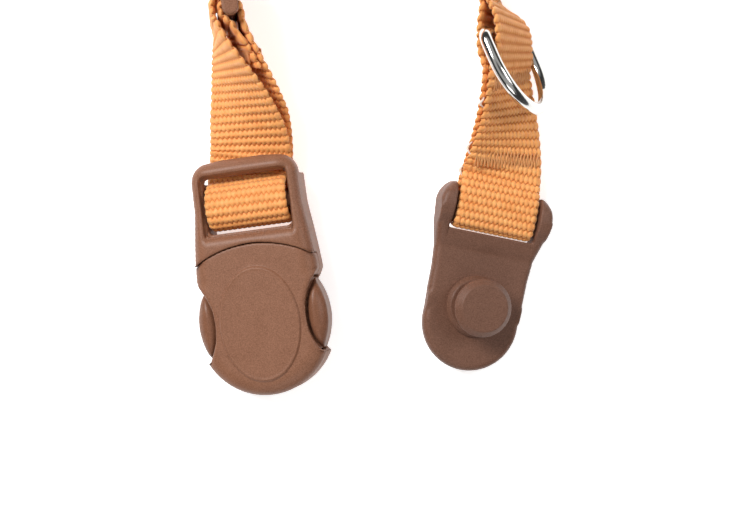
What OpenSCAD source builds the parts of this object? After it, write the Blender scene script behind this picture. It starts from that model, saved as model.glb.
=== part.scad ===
// Adjustable webbing strap with a side-button stud buckle, a sewn-in D-ring and a slider.
// It lies as it does on a table: both buckle halves face up and the loop stands on its edge.

/* [Webbing] */
// Width of the woven strap
strap_w = 20; // [20:0.1:20.4]
// Thickness of one layer of webbing
strap_t = 1.5; // [1.3:0.05:1.5]
// Spacing of two layers that lie on each other, centre to centre
layer_gap = 1.7; // [1.65:0.05:1.8]
// How far the loop reaches beyond the two legs
loop_reach = 125; // [100:5:160]
// Length of the sewn-down tail at the slider
tail_length = 10; // [9:1:16]

/* [Buckle with buttons] */
// Thickness of the closed buckle
buckle_t = 10.5; // [10.5:0.1:11]
// Radius of the round nose
nose_r = 16.3; // [16:0.1:16.6]
// Half the width of the frame at its far end
frame_half_w = 13.1; // [13:0.1:13.6]
// Distance from the socket's axis to the far edge of the frame
frame_top = 39.8; // [39.5:0.1:40.4]
// Radius of the hidden bar that the webbing folds over
bar_r = 1.8; // [1.6:0.1:1.9]
// Travel of each button
press = 2.2; // [2:0.1:2.3]
// Wall thickness of the two shells
wall = 1.6; // [1.4:0.1:1.7]

/* [Plate with stud] */
// Thickness of the plate
plate_t = 3; // [2.6:0.1:3.2]
// Radius of the plate's round end
plate_r = 12; // [11.5:0.1:12.4]
// Half the width across the ears
ear_half_w = 14.3; // [14:0.1:14.6]
// Height of the ears beside the webbing
ear_h = 7; // [6.5:0.1:8]
// Radius of the stud's head
stud_head_r = 7; // [6.8:0.05:7.1]
// Radius of the stud's neck
stud_neck_r = 4.9; // [4.6:0.1:5]
// Height of the stud above the plate
stud_h = 8; // [7.8:0.1:8.2]

/* [Ring and slider] */
// Diameter of the ring's wire
wire_d = 2.9; // [2.6:0.1:2.9]
// Half the length of the ring's straight bar, to the middle of the wire
ring_half = 12.3; // [12.2:0.1:12.5]
// Depth of the ring from its bar to the middle of its bow
ring_depth = 19; // [18:0.5:20]
// Length of the slider along the strap
slider_len = 22; // [22:0.5:24]
// Radius of the slider's three bars
slider_bar_r = 1.5; // [1.3:0.1:1.5]

/* [How it lies] */
// Angle of the buckle in the plane of the table
buckle_turn = 7.3; // [6.5:0.1:8]
// Tilt of the buckle towards its left side
buckle_tilt = 10; // [8:0.5:12]
// Angle of the plate in the plane of the table
plate_turn = -11.2; // [-12:0.1:-9]
// Tilt of the plate towards its right side
plate_tilt = 13; // [11:0.5:14]
// Angle between the ring and the face of the strap
ring_swing = 22; // [20:1:26]

/* [Hidden] */
$fn = 64;
eps = 0.01;

// Colours
plastic = "#8d6654";
plastic_dark = "#785544";
chrome = "#c9ccd0";
steel = "#9a9da1";
orange = "#f0a55a";
thread = "#f4b673";

// The middle of the finished object's outline on the table is the origin
shift = [0, -63.5, 0];
// Where the buckle's socket axis and the plate's stud axis meet the table
buckle_home = [-24.9, -15.5, 2.75] + shift;
plate_home = [24.4, -11.5, 3.25] + shift;

// ---- points and directions ----
function turned_y(p, a) = [p[0] * cos(a) + p[2] * sin(a), p[1], p[2] * cos(a) - p[0] * sin(a)];
function turned_z(p, a) = [p[0] * cos(a) - p[1] * sin(a), p[0] * sin(a) + p[1] * cos(a), p[2]];
function buckle_dir(p) = turned_z(turned_y(p, -buckle_tilt), buckle_turn);
function plate_dir(p) = turned_z(turned_y(p, plate_tilt), plate_turn);
function unit(v) = v / norm(v);
function mix(a, b, t) = a * (1 - t) + b * t;
function soft(t) = t * t * (3 - 2 * t);
function clamp01(t) = min(1, max(0, t));
function ramp(x, a, b) = soft(clamp01((x - a) / (b - a)));
function hermite(p, q, u, v, t) =
    p * (2 * pow(t, 3) - 3 * t * t + 1) + u * (pow(t, 3) - 2 * t * t + t)
    + q * (3 * t * t - 2 * pow(t, 3)) + v * (pow(t, 3) - t * t);
// A smooth curve through points: the position at parameter x, in whole steps per point
function through(pts, x) =
    let (n = len(pts) - 1, i = min(n - 1, floor(x)), t = x - i,
         a = pts[max(0, i - 1)], b = pts[i], c = pts[i + 1], d = pts[min(n, i + 2)])
    hermite(b, c, (c - a) / 2, (d - b) / 2, t);

module buckle_frame() {
    translate(buckle_home) rotate([0, 0, buckle_turn]) rotate([0, -buckle_tilt, 0]) children();
}
module plate_frame() {
    translate(plate_home) rotate([0, 0, plate_turn]) rotate([0, plate_tilt, 0]) children();
}
// Puts children in a frame with its X along w, its Y along t and its Z along w x t
module at_frame(p, w, t) {
    n = cross(w, t);
    multmatrix([[w[0], t[0], n[0], p[0]], [w[1], t[1], n[1], p[1]],
                [w[2], t[2], n[2], p[2]], [0, 0, 0, 1]]) children();
}

// ---- where the strap runs ----
// Left leg: from under the buckle's frame up to the slider
frame_exit_y = 41;
fold_mid_z = 2.3;
fold_mid_x = 1.3;
leg_left_start = buckle_home + buckle_dir([fold_mid_x, frame_exit_y, fold_mid_z]);
slider_home = [-33.2, 55.2, 13.75] + shift;
slider_lean = 10;
slider_dir = [-sin(slider_lean), cos(slider_lean), 0];
slider_up = [0.1, 0, 1];
slider_w = unit(slider_up - slider_dir * (slider_up * slider_dir));
slider_n = cross(slider_w, slider_dir);
// Right leg: from the plate's bar up past the ring
plate_exit_y = 31;
leg_right_start = plate_home + plate_dir([0, plate_exit_y, 3]);
ring_home = [31.6, 52.4, 12.2] + shift;
ring_dir = unit([-0.06, 1, 0.02]);
ring_twist = 60;
ring_side = [cos(ring_twist), 0, -sin(ring_twist)];
ring_w = unit(ring_side - ring_dir * (ring_side * ring_dir));
ring_n = cross(ring_w, ring_dir);
// Where both legs stand on edge and run on into the loop
leg_right_end = [26.6, 66, 10.6] + shift;
leg_right_end_dir = unit([-0.24, 1, 0]);

leg_steps = 12;
// The middle of the left leg, t from 0 at the buckle to 1 at the slider
function left_mid(t) = hermite(leg_left_start, slider_home, buckle_dir([0.2, 1, 0.1]) * 30,
                               slider_dir * 30, t);
function left_across(t) = unit(mix(buckle_dir([1, 0, 0]), slider_w, t));
// The middle of the right leg, t from 0 at the plate, 1 at the ring to 2 past the ring
function right_mid(t) = t <= 1
    ? hermite(leg_right_start, ring_home, plate_dir([0, 1, 0]) * 30, ring_dir * 30, t)
    : hermite(ring_home, leg_right_end, ring_dir * 14, leg_right_end_dir * 14, t - 1);
function right_across(t) = t <= 1
    ? unit(mix(plate_dir([1, 0, 0]), ring_w, sin(90 * t)))
    : unit(mix(ring_w, [0.12, 0, -1], soft(t - 1)));
// A station of the ribbon is a point and the direction across the strap
function normal_at(mid, next, across) = unit(cross(across, next - mid));
function left_station(t, side) =
    let (p = left_mid(t), w = left_across(t), n = normal_at(p, left_mid(t + 0.01), w),
         apart = mix(mix(2.5, 4.4, ramp(t, 0, 0.35)), 6.35, ramp(t, 0.4, 1)))
    [p + n * (side * apart / 2 + 0.825 * ramp(t, 0.5, 1)), w];
ring_pocket = wire_d + strap_t + 0.4;
function right_apart(t) = layer_gap
    + (ring_pocket - layer_gap) * (t <= 1 ? ramp(t, 0.72, 0.92) : 1 - ramp(t, 1.2, 1.62));
function right_station(t, side) =
    let (p = right_mid(t), w = right_across(t), n = normal_at(p, right_mid(t + 0.01), w))
    [p + n * side * right_apart(t) / 2, w];

// Fold over the buckle's hidden bar, as [y, z] in the buckle's frame
buckle_bar = [29, 6.5];
buckle_fold = [[41, 3.55], [38.6, 3.45], [36.2, 3.9], [34.5, 5.3], [33.3, 7.2], [31.6, 8.7],
    [29, 9.25], [26.4, 8.8], [24.7, 7.3], [24, 5], [24.2, 2.9], [25.4, 1.6], [27.6, 1.15],
    [31, 1.05], [35, 1.05], [38.4, 1.05], [41, 1.05]];
// How far the webbing has shifted sideways where it leaves the buckle
function fold_shift(y) = fold_mid_x * ramp(y, 34, 42);
// Fold round the plate's flat bar, as [y, z] in the plate's frame
plate_bar = [23, 3.2];
plate_fold = [[31, 3.85], [28.9, 4.7], [26.9, 5.4], [24.4, 5.6], [21.6, 5.6], [19.8, 5.25],
    [18.7, 4.35], [18.45, 3.2], [18.7, 2.05], [19.8, 1.15], [21.6, 0.8], [24.4, 0.8],
    [26.9, 1], [28.9, 1.6], [31, 2.15]];
// Weave of the strap through the slider, then the fold of its sewn end, as [y, z]
strap_weave = [[32, 0.3], [27.5, 1], [24.3, 2.2], [21, 2.55], [18, 1.9], [15.6, 0], [13.2, -1.85],
    [10.9, -2.45], [8.6, -1.2], [6.9, 1.7], [4.9, 3.75], [2.2, 4.2], [-0.5, 4.05]];
end_fold = [[-0.2, -2.35], [1.3, -2.4], [3.1, -2.15], [4.3, -1.2], [4.65, 0], [4.3, 1.2],
    [3.2, 2.15], [1.6, 2.3], [0, 1.4], [-1.4, 0.1], [-3.6, -0.5]];

function fold_stations(pts, home, w, dir_y, dir_z, steps) =
    [for (i = [1 : (len(pts) - 1) * steps - 1])
        let (q = through(pts, i / steps)) [home + dir_y * q[0] + dir_z * q[1], w]];
function shifted(s, w, dir_y, home) =
    [for (a = s) [a[0] + w * fold_shift((a[0] - home) * dir_y), a[1]]];

// The loop beyond the slider and the ring, standing on its edge; both ends are held a little higher
loop_end = slider_home + slider_dir * 32 + slider_n * 0.3;
loop_rest = strap_w / 2 + 0.12;
function loop_height(t) = loop_rest + (leg_right_end[2] - loop_rest) * pow(1 - t, 6)
    + (loop_end[2] - loop_rest) * pow(t, 6);
function loop_point(t) =
    let (p = hermite(leg_right_end, loop_end, leg_right_end_dir * 2.9 * loop_reach,
                     -slider_dir * 2.5 * loop_reach, t))
    [p[0], p[1], loop_height(t)];
loop_steps = 36;

// All stations from the free end on the right leg round to the sewn tail at the slider
free_end_t = 1.94;
right_down = [for (i = [0 : 18]) right_station(free_end_t * (1 - i / 18), 1)];
plate_turnback = fold_stations(plate_fold, plate_home, plate_dir([1, 0, 0]),
    plate_dir([0, 1, 0]), plate_dir([0, 0, 1]), 2);
right_up = [for (i = [0 : 18]) right_station(2 * i / 18, -1)];
loop_run = [for (i = [1 : loop_steps - 1])
    let (t = i / loop_steps) [loop_point(t), unit(mix([0.12, 0, -1], -slider_w, soft(t)))]];
weave_run = fold_stations(strap_weave, slider_home, -slider_w, slider_dir, slider_n, 2);
left_down = [for (i = [0 : leg_steps])
    let (s = left_station(1 - i / leg_steps, 1)) [s[0], -s[1]]];
buckle_turnback = shifted(fold_stations(buckle_fold, buckle_home, -buckle_dir([1, 0, 0]),
    buckle_dir([0, 1, 0]), buckle_dir([0, 0, 1]), 2), buckle_dir([1, 0, 0]),
    buckle_dir([0, 1, 0]), buckle_home);
left_up = [for (i = [0 : leg_steps])
    let (s = left_station(i / leg_steps, -1)) [s[0], -s[1]]];
end_run = fold_stations(end_fold, slider_home, -slider_w, slider_dir, slider_n, 2);
// The tail lies along the leg, between its two layers
function tail_station(t) =
    let (s = left_station(t, -1), p = left_mid(t), w = left_across(t),
         n = normal_at(p, left_mid(t + 0.01), w))
    [s[0] + n * layer_gap, -w];
leg_left_length = norm(slider_home - leg_left_start);
tail_run = [for (i = [1 : 5]) tail_station(1 - (3.2 + (tail_length - 3.2) * i / 5) / leg_left_length)];
stations = concat(right_down, plate_turnback, right_up, loop_run, weave_run, left_down,
    buckle_turnback, left_up, end_run, tail_run);

// ---- ribbon ----
function along(s, i) =
    unit(s[min(len(s) - 1, i + 1)][0] - s[max(0, i - 1)][0]);
function ring_of(s, i) =
    let (t = along(s, i), w = unit(s[i][1] - t * (s[i][1] * t)), n = cross(w, t),
         a = w * strap_w / 2, b = n * strap_t / 2, p = s[i][0])
    [p - a - b, p + a - b, p + a + b, p - a + b];
module ribbon(s) {
    count = len(s);
    pts = [for (i = [0 : count - 1]) each ring_of(s, i)];
    sides = [for (i = [0 : count - 2]) for (k = [0 : 3])
        let (a = 4 * i + k, b = 4 * i + (k + 1) % 4, c = b + 4, d = a + 4)
        each [[a, b, c], [a, c, d]]];
    last = 4 * (count - 1);
    ends = [[0, 2, 1], [0, 3, 2], [last, last + 1, last + 2], [last, last + 2, last + 3]];
    polyhedron(pts, concat(sides, ends), convexity = 10);
}
module webbing() {
    color(orange) ribbon(stations);
}

// ---- buckle shells ----
function arc(c, r, from, to, n) =
    [for (i = [0 : n]) let (a = from + (to - from) * i / n) c + r * [cos(a), sin(a)]];
function mirrored(pts) = [for (i = [len(pts) - 1 : -1 : 0]) [-pts[i][0], pts[i][1]]];
nose_c = [0, -1];
lug_y = -8.2;
lug_angle = asin((lug_y - nose_c[1]) / nose_r);
waist_r = 15.5;
waist_c = [26.6, 0.8];
shoulder_y = 10.4;
seam_c = [0, -8.6];
seam_r = 28;
cover_top = 15.3;
// Right side of the outline, from the nose up to the frame's far corner
lower_side = concat(arc(nose_c, nose_r, -90, lug_angle, 12),
    arc(waist_c, waist_r, 217, 142, 10), [[14.2, shoulder_y - 0.2]],
    [[15, 11.6], [14.9, 13.6]]);
upper_side = concat([[14.5, 17.5], [14, 22], [frame_half_w + 0.1, 28]],
    arc([frame_half_w - 4.7, frame_top - 4.7], 4.7, 0, 72, 6), [[5, frame_top + 0.25]]);
module outline() {
    side = concat(lower_side, upper_side);
    polygon(concat(side, mirrored(side)));
}
module inner_room() {
    offset(delta = -wall) intersection() {
        outline();
        translate([-30, -30]) square([60, 30 + cover_top + wall]);
    }
}
// The cavity: inside the walls, and open at both sides for the buttons
module cavity(low, high) {
    translate([0, 0, low]) linear_extrude(high - low) {
        inner_room();
        translate([-30, lug_y + 0.2]) square([60, shoulder_y - lug_y - 0.6]);
    }
}
floor_t = 1.6;
roof_z = 9;
split_z = 5.2;
socket_r = 7.65;
slot_half_w = 10.4;
slot_low = 21.7;
slot_high = 36;
slot_corner = 1.2;
top_bar_z = 6.2;
rib_half = 1;
spring_y = 12.7;
spring_z = 6.9;
module slot_shape() {
    offset(slot_corner) offset(-slot_corner)
        translate([-slot_half_w, slot_low]) square([2 * slot_half_w, slot_high - slot_low]);
}
module female_frame() {
    color(plastic) buckle_frame() {
        difference() {
            union() {
                linear_extrude(split_z) outline();
                linear_extrude(buckle_t) difference() {
                    outline();
                    translate(seam_c) circle(seam_r);
                }
            }
            cavity(floor_t, buckle_t);
            translate([0, 0, -1]) cylinder(h = floor_t + 2, r = socket_r);
            // webbing slot, and the room for the webbing under the far bar
            translate([0, 0, -1]) linear_extrude(21) slot_shape();
            translate([-slot_half_w, slot_low, -1])
                cube([2 * slot_half_w, 30, top_bar_z + 1]);
            translate([-20, 35, -1]) cube([40, 10, top_bar_z + 1]);
            // soft inner chamfer of the slot
            translate([0, 0, buckle_t - 1.6]) linear_extrude(3) offset(0.6) slot_shape();
        }
        // hidden bar under the webbing
        translate([-slot_half_w - 0.5, buckle_bar[0], buckle_bar[1]]) rotate([0, 90, 0])
            cylinder(h = 2 * slot_half_w + 1, r = bar_r);
        // rib that both springs press on
        translate([-rib_half, 10.6, floor_t - eps]) cube([2 * rib_half, 4.6, 7.2]);
    }
}
module front_cover() {
    color(plastic) buckle_frame() {
        difference() {
            translate([0, 0, split_z + 0.02]) linear_extrude(buckle_t - split_z - 0.62)
                intersection() {
                    outline();
                    translate(seam_c) circle(seam_r - 0.12);
                }
            cavity(split_z - 1, roof_z);
        }
        // raised oval pad
        translate([0, 0, buckle_t - 0.7]) difference() {
            scale([10, 14, 1]) cylinder(h = 0.7, r = 1);
            translate([0, 0, 0.35]) scale([9.2, 13.2, 1]) cylinder(h = 1, r = 1);
        }
    }
}

// ---- buttons: pad, latch plate with its jaw on the far side, and spring arm ----
pad_z0 = 1.9;
pad_z1 = 8.8;
latch_t = 1.4;
jaw_end = 7.3;
latch_half = 9.6;
head_room_r = 7.4;
neck_room_r = 5.3;
module button_profile(inner) {
    intersection() {
        translate([-0.3, 0.8]) circle(nose_r);
        translate([inner, lug_y + 0.6]) square([20, shoulder_y - lug_y - 1.4]);
    }
}
module button(latch_z) {
    translate([0, 0, pad_z0]) linear_extrude(pad_z1 - pad_z0) button_profile(12.2);
    translate([0, 0, split_z]) linear_extrude(pad_z1 - split_z) button_profile(10.4);
    // latch plate round the stud's neck
    translate([0, 0, latch_z]) difference() {
        linear_extrude(latch_t) difference() {
            translate([-jaw_end, -min(latch_half, 7.5)])
                square([jaw_end + 12.4, 7.5 + latch_half]);
            translate([-jaw_end - 1, -12]) square([1.01, 30]);
        }
        translate([press, 0, -1]) cylinder(h = latch_t + 2, r = head_room_r - 0.25);
        translate([0, 0, -1]) cylinder(h = latch_t + 2, r = neck_room_r);
    }
    // arm that the spring pushes
    translate([9.7, shoulder_y - 2, split_z]) cube([2.4, 14.6 - shoulder_y + 2, 3.4]);
}
module right_button() {
    color(plastic) buckle_frame() button(3.5);
}
module left_button() {
    color(plastic) buckle_frame() mirror([1, 0, 0]) button(1.95);
}
spring_r = 1.35;
spring_wire = 0.45;
spring_turns = 5;
spring_from = rib_half + spring_wire / 2 + 0.06;
spring_to = 9.7 - spring_wire / 2 - 0.06;
module coil() {
    per_turn = 12;
    count = spring_turns * per_turn;
    sides = 6;
    pts = [for (i = [0 : count]) for (k = [0 : sides - 1])
        let (a = 360 * i / per_turn, b = 360 * k / sides,
             r = spring_r + spring_wire / 2 * cos(b))
        [spring_from + (spring_to - spring_from) * i / count + spring_wire / 2 * sin(b),
         r * cos(a), r * sin(a)]];
    skin = [for (i = [0 : count - 1]) for (k = [0 : sides - 1])
        let (a = sides * i + k, b = sides * i + (k + 1) % sides)
        each [[a, b, b + sides], [a, b + sides, a + sides]]];
    first = [for (k = [sides - 1 : -1 : 0]) k];
    end = [for (k = [0 : sides - 1]) sides * count + k];
    polyhedron(pts, concat(skin, [first, end]), convexity = 10);
}
module right_spring() {
    color(steel) buckle_frame() translate([0, spring_y, spring_z]) coil();
}
module left_spring() {
    color(steel) buckle_frame() translate([0, spring_y, spring_z]) rotate([0, 0, 180]) coil();
}

// ---- plate and stud ----
stud_hole_r = 3.2;
stud_foot_r = 4.4;
stud_foot_t = 0.9;
ear_in = 10.7;
module plate_outline() {
    side = concat(arc([0, -4], plate_r, -90, 5, 14), [[12.15, 2], [12.2, 8], [12.6, 13],
        [13.7, 18]], arc([ear_half_w - 6, 23.5], 6, 0, 60, 6), [[ear_in, 28.6]]);
    polygon(concat(side, mirrored(side)));
}
module male_plate() {
    color(plastic_dark) plate_frame() difference() {
        union() {
            linear_extrude(plate_t) plate_outline();
            // ears, ramped up from the plate
            intersection() {
                linear_extrude(ear_h) plate_outline();
                translate([-20, 0, 0]) rotate([90, 0, 90]) linear_extrude(40)
                    polygon([[13, 0], [13, plate_t], [17.5, 4.6], [20.5, 6.4], [23, ear_h],
                        [26, 6.7], [28.4, 5.4], [29.5, 3.4], [29.5, 0]]);
            }
        }
        // window for the webbing, with the flat bar left across it
        difference() {
            translate([-ear_in, 17, -1]) cube([2 * ear_in, 20, 20]);
            translate([-20, 0, 0]) rotate([90, 0, 90]) linear_extrude(40)
                translate([plate_bar[0] - 2.4, plate_bar[1] - 1.2]) {
                    translate([0, 1.2]) circle(1.2);
                    translate([4.8, 1.2]) circle(1.2);
                    square([4.8, 2.4]);
                }
        }
        translate([0, 0, -1]) cylinder(h = plate_t + 2, r = stud_hole_r);
        translate([0, 0, -1]) cylinder(h = stud_foot_t + 1, r = stud_foot_r);
    }
}
module stud() {
    color(plastic_dark) plate_frame() rotate_extrude() polygon([[0, 0], [stud_foot_r, 0],
        [stud_foot_r, stud_foot_t], [stud_hole_r, stud_foot_t], [stud_hole_r, plate_t],
        [7.5, plate_t], [7.5, plate_t + 0.6], [6.65, plate_t + 1.7],
        [stud_neck_r, plate_t + 1.7], [stud_neck_r, plate_t + 5.2],
        [stud_head_r - 0.6, plate_t + 5.2], [stud_head_r, plate_t + 5.8],
        [stud_head_r, plate_t + 6.6], [5.65, plate_t + stud_h], [0, plate_t + stud_h]]);
}

// ---- ring and slider ----
corner_r = 3;
ring_skew = 2.5;
module d_ring_wire() {
    straight = ring_depth - ring_half;
    rotate([0, 90, 0]) translate([0, 0, corner_r - ring_half])
        cylinder(h = 2 * (ring_half - corner_r), d = wire_d);
    for (x = [-1, 1]) {
        translate([x * (ring_half - corner_r), -corner_r, 0]) rotate([0, 0, x > 0 ? 0 : 90])
            rotate_extrude(angle = 90) translate([corner_r, 0]) circle(d = wire_d);
        translate([x * ring_half, -corner_r, 0]) rotate([90, 0, 0])
            cylinder(h = straight - corner_r, d = wire_d);
    }
    translate([0, -straight, 0]) rotate([0, 0, 180]) rotate_extrude(angle = 180)
        translate([ring_half, 0]) circle(d = wire_d);
}
module d_ring() {
    color(chrome) at_frame(ring_home, ring_w, ring_dir) rotate([0, 0, -ring_skew])
        rotate([-ring_swing, 0, 0]) d_ring_wire();
}
rail_in = 10.6;
rail_out = 13.5;
module slider() {
    color(plastic) at_frame(slider_home, slider_w, slider_dir) {
        for (y = [2.2, 11, 19.8]) translate([-rail_in - 1, y, 0]) rotate([0, 90, 0])
            cylinder(h = 2 * rail_in + 2, r = slider_bar_r);
        for (x = [-1, 1]) translate([x * (rail_in + rail_out) / 2, 0, 0]) rotate([90, 0, 90])
            linear_extrude(rail_out - rail_in, center = true) polygon(concat(
                arc([2.2, 0], 2, 110, 250, 8), arc([slider_len - 2.2, 0], 2, -70, 70, 8)));
    }
}

// ---- stitching: rows of thread across the strap on both faces ----
stitch = [1.5, 0.5, 0.36];
module stitch_face(rows, pitch, count, out) {
    for (r = [0 : rows - 1]) for (i = [0 : count - 1])
        translate([(i - (count - 1) / 2 + 0.25 * (r % 2)) * 2, (r - (rows - 1) / 2) * pitch, out])
            cube(stitch, center = true);
}
module stitched(mid, across, dir, apart, rows, pitch) {
    at_frame(mid, across, dir) for (side = [-1, 1])
        stitch_face(rows, pitch, 9, side * (apart / 2 + strap_t / 2 + 0.02));
}
function squared(w, dir) = unit(w - dir * (w * dir));
module right_leg_stitching(t, rows, pitch) {
    dir = unit(right_mid(t + 0.01) - right_mid(t - 0.01));
    color(thread) stitched(right_mid(t), squared(right_across(t), dir), dir, right_apart(t), rows, pitch);
}
module plate_stitching() {
    right_leg_stitching(0.16, 3, 1.2);
}
module ring_lower_stitching() {
    right_leg_stitching(0.7, 3, 1.1);
}
module ring_upper_stitching() {
    right_leg_stitching(1.66, 3, 1.1);
}
module slider_stitching() {
    t = 1 - 6.8 / leg_left_length;
    s = left_station(t, -1);
    dir = unit(left_station(t + 0.01, -1)[0] - left_station(t - 0.01, -1)[0]);
    w = squared(s[1], dir);
    color(thread) stitched(s[0] + cross(w, dir) * layer_gap / 2, w, dir, layer_gap, 3, 1.2);
}

female_frame();
front_cover();
left_button();
right_button();
left_spring();
right_spring();
male_plate();
stud();
webbing();
d_ring();
slider();
plate_stitching();
ring_lower_stitching();
ring_upper_stitching();
slider_stitching();
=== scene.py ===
"""Woven strap with a two-button stud buckle: the looks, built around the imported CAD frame."""

import math

import bmesh
import bpy
import numpy as np
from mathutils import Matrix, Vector


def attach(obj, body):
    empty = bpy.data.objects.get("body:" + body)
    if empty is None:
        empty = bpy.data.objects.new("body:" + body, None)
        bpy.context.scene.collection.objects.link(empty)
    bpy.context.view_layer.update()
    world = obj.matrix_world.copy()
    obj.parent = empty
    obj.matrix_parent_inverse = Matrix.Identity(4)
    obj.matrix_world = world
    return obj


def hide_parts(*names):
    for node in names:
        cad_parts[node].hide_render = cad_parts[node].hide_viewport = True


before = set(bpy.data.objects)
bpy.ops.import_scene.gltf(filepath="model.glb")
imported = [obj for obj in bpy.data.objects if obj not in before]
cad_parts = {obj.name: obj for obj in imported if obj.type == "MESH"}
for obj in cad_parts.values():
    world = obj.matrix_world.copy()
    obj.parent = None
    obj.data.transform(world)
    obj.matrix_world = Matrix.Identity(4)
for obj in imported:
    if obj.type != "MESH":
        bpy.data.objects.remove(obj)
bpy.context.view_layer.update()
MM = 0.001

# ---------------------------------------------------------------- how the strap lies (mm)
SHIFT = np.array([0.0, -63.5, 0.0])
STRAP_W = 20.0
STRAP_T = 1.5
LAYER_GAP = 1.7
LOOP_REACH = 125.0
TAIL_LENGTH = 10.0
BUCKLE_TURN = 7.3
BUCKLE_TILT = 10.0
PLATE_TURN = -11.2
PLATE_TILT = 13.0
WIRE_D = 2.9
RING_HALF = 12.3
RING_DEPTH = 19.0
RING_CORNER = 3.0
RING_SWING = 22.0
RING_SKEW = 2.5
RING_TWIST = 60.0
SLIDER_LEAN = 10.0
BUCKLE_HOME = np.array([-24.9, -15.5, 2.75]) + SHIFT
PLATE_HOME = np.array([24.4, -11.5, 3.25]) + SHIFT
SLIDER_HOME = np.array([-33.2, 55.2, 13.75]) + SHIFT
RING_HOME = np.array([31.6, 52.4, 12.2]) + SHIFT
LEG_RIGHT_END = np.array([26.6, 66.0, 10.6]) + SHIFT


def vec(*xyz):
    return np.array(xyz, float)


def unit(v):
    return v / np.linalg.norm(v)


def sin_deg(a):
    return math.sin(math.radians(a))


def cos_deg(a):
    return math.cos(math.radians(a))


def turned_y(p, a):
    """Point p turned about Y by a degrees."""
    return vec(p[0] * cos_deg(a) + p[2] * sin_deg(a), p[1], p[2] * cos_deg(a) - p[0] * sin_deg(a))


def turned_z(p, a):
    """Point p turned about Z by a degrees."""
    return vec(p[0] * cos_deg(a) - p[1] * sin_deg(a), p[0] * sin_deg(a) + p[1] * cos_deg(a), p[2])


def buckle_dir(*p):
    return turned_z(turned_y(p, -BUCKLE_TILT), BUCKLE_TURN)


def plate_dir(*p):
    return turned_z(turned_y(p, PLATE_TILT), PLATE_TURN)


def mix(a, b, t):
    return a * (1 - t) + b * t


def ramp(x, a, b):
    """0 below a, 1 above b, and a smooth rise between."""
    t = min(1.0, max(0.0, (x - a) / (b - a)))
    return t * t * (3 - 2 * t)


def hermite(p, q, u, v, t):
    """A curve from p to q that leaves along u and arrives along v."""
    return (p * (2 * t**3 - 3 * t * t + 1) + u * (t**3 - 2 * t * t + t)
            + q * (3 * t * t - 2 * t**3) + v * (t**3 - t * t))


def through(pts, x):
    """A smooth curve through the listed points, at position x counted in points."""
    last = len(pts) - 1
    i = min(last - 1, int(math.floor(x)))
    a, b, c, d = (np.array(pts[k], float) for k in (max(0, i - 1), i, i + 1, min(last, i + 2)))
    return hermite(b, c, (c - a) / 2, (d - b) / 2, x - i)


def normal_at(mid, ahead, across):
    return unit(np.cross(across, ahead - mid))


SLIDER_DIR = vec(-sin_deg(SLIDER_LEAN), cos_deg(SLIDER_LEAN), 0)
SLIDER_W = unit(vec(0.1, 0, 1) - SLIDER_DIR * (vec(0.1, 0, 1) @ SLIDER_DIR))
SLIDER_N = np.cross(SLIDER_W, SLIDER_DIR)
RING_DIR = unit(vec(-0.06, 1, 0.02))
RING_SIDE = vec(cos_deg(RING_TWIST), 0, -sin_deg(RING_TWIST))
RING_W = unit(RING_SIDE - RING_DIR * (RING_SIDE @ RING_DIR))
RING_N = np.cross(RING_W, RING_DIR)
LEG_RIGHT_END_DIR = unit(vec(-0.24, 1, 0))
FOLD_MID_X = 1.3
LEG_LEFT_START = BUCKLE_HOME + buckle_dir(FOLD_MID_X, 41, 2.3)
LEG_RIGHT_START = PLATE_HOME + plate_dir(0, 31, 3)
LEG_LEFT_LENGTH = np.linalg.norm(SLIDER_HOME - LEG_LEFT_START)
LOOP_END = SLIDER_HOME + SLIDER_DIR * 32 + SLIDER_N * 0.3
LOOP_REST = STRAP_W / 2 + 0.12
LAST_ACROSS = vec(0.12, 0, -1)


def left_mid(t):
    return hermite(LEG_LEFT_START, SLIDER_HOME, buckle_dir(0.2, 1, 0.1) * 30, SLIDER_DIR * 30, t)


def left_across(t):
    return unit(mix(buckle_dir(1, 0, 0), SLIDER_W, t))


def right_mid(t):
    if t <= 1:
        return hermite(LEG_RIGHT_START, RING_HOME, plate_dir(0, 1, 0) * 30, RING_DIR * 30, t)
    return hermite(RING_HOME, LEG_RIGHT_END, RING_DIR * 14, LEG_RIGHT_END_DIR * 14, t - 1)


def right_across(t):
    if t <= 1:
        return unit(mix(plate_dir(1, 0, 0), RING_W, sin_deg(90 * t)))
    return unit(mix(RING_W, LAST_ACROSS, ramp(t, 1, 2)))


def left_station(t, side):
    """Middle of one layer of the left leg and its across direction; side is 1 or -1."""
    p, w = left_mid(t), left_across(t)
    n = normal_at(p, left_mid(t + 0.01), w)
    apart = mix(mix(2.5, 4.4, ramp(t, 0, 0.35)), 6.35, ramp(t, 0.4, 1))
    return p + n * (side * apart / 2 + 0.825 * ramp(t, 0.5, 1)), w


RING_POCKET = WIRE_D + STRAP_T + 0.4


def right_apart(t):
    open_up = ramp(t, 0.72, 0.92) if t <= 1 else 1 - ramp(t, 1.2, 1.62)
    return LAYER_GAP + (RING_POCKET - LAYER_GAP) * open_up


def right_station(t, side):
    """Middle of one layer of the right leg and its across direction; side is 1 or -1."""
    p, w = right_mid(t), right_across(t)
    n = normal_at(p, right_mid(t + 0.01), w)
    return p + n * side * right_apart(t) / 2, w


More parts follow.
